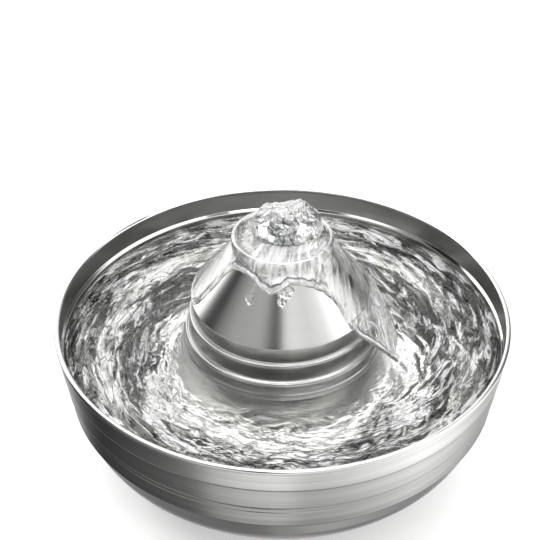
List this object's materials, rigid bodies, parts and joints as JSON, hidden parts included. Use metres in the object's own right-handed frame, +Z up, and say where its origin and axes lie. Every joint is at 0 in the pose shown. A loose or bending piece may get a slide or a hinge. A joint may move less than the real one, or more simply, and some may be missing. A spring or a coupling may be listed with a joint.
{
  "type": "pet water fountain",
  "caption": "Stainless bowl water fountain for cats and small dogs, with a stepped wall, a lift-off cone dome over the filter and pump, and a bubbling top dish.",
  "frame": {"origin": "on the ground, under the centre of the bowl", "axes": "+Z up, -Y the front, +Y the rear with the power inlet, +X to the right seen from the front"},
  "size_m": [0.263, 0.263, 0.168],
  "materials": {
    "brushed_steel_bowl": "spun 304 stainless, satin brushed round the axis",
    "polished_steel": "spun stainless, bright polished",
    "zinc_screw_steel": "zinc-plated steel",
    "charcoal_abs": "fine satin moulding",
    "black_nylon": "satin nylon",
    "black_silicone": "matt silicone",
    "clear_silicone": "milky translucent silicone",
    "brass_contact": "bright brass",
    "wire_insulation": "soft PVC",
    "pump_black": "satin moulding",
    "laminated_iron": "stacked laminations",
    "copper_winding": "enamelled copper",
    "circuit_board": "solder mask",
    "potting_resin": "cast epoxy",
    "white_ceramic": "ground alumina",
    "ferrite": "sintered ferrite",
    "impeller_white": "moulded acetal",
    "grey_foam": "open cell foam",
    "filter_white": "moulded polypropylene",
    "filter_wool": "needled polyester",
    "carbon_granules": "activated carbon"
  },
  "bodies": {
    "base": {"bowl_shell": "brushed_steel_bowl", "base_tray": "charcoal_abs", "base_gasket": "black_silicone", "floor_standoffs": "polished_steel", "base_screws": "zinc_screw_steel", "foot_pads": "black_silicone", "dc_jack": "black_nylon", "jack_pin": "brass_contact", "jack_wires": "wire_insulation", "gland_body": "black_nylon", "gland_washer": "black_silicone", "gland_nut": "black_nylon", "gland_bush": "black_silicone", "gland_cap": "black_nylon", "pump_lead": "black_silicone", "lead_boot": "black_silicone", "pump_housing": "pump_black", "suction_cups": "clear_silicone", "stator_core": "laminated_iron", "stator_coils": "copper_winding", "driver_board": "circuit_board", "potting_cap": "potting_resin", "rotor_shaft": "white_ceramic", "rear_bush": "black_silicone", "front_bush": "black_silicone", "pump_cover": "pump_black", "pump_oring": "black_silicone", "cover_screws": "zinc_screw_steel", "riser_tube": "clear_silicone", "bubbler_nozzle": "filter_white"},
    "rotor": {"rotor_magnet": "ferrite", "impeller": "impeller_white"},
    "intake": {"intake_grille": "pump_black", "intake_foam": "grey_foam"},
    "dial": {"flow_dial": "filter_white"},
    "shroud": {"pump_shroud": "filter_white"},
    "cartridge": {"filter_frame": "filter_white", "filter_wool": "filter_wool", "filter_carbon": "carbon_granules", "filter_lid": "filter_white"},
    "dome": {"dome_cover": "polished_steel", "skirt_bumper": "black_silicone", "top_dish": "polished_steel", "dish_seal": "clear_silicone"}
  },
  "joints": [
    {"name": "dome_lift", "type": "slide", "parent": "base", "child": "dome", "axis": [0, 0, 1], "range_m": [0, 0.3]},
    {"name": "cartridge_lift", "type": "slide", "parent": "base", "child": "cartridge", "axis": [0, 0, 1], "range_m": [0, 0.226]},
    {"name": "shroud_lift", "type": "slide", "parent": "base", "child": "shroud", "axis": [0, 0, 1], "range_m": [0, 0.157]},
    {"name": "impeller_spin", "type": "hinge", "parent": "base", "child": "rotor", "pos_m": [-0.011, 0, 0.0415], "axis": [0, 1, 0], "continuous": true},
    {"name": "intake_pull", "type": "slide", "parent": "base", "child": "intake", "axis": [0, -1, 0], "range_m": [0, 0.012]},
    {"name": "dial_turn", "type": "hinge", "parent": "intake", "child": "dial", "pos_m": [-0.011, -0.018, 0.0415], "axis": [0, 1, 0], "range_deg": [0, 30]}
  ],
  "couplings": [
    {"joint": "cartridge_lift", "follows": "dome_lift", "ratio": 0.75},
    {"joint": "shroud_lift", "follows": "dome_lift", "ratio": 0.52}
  ]
}
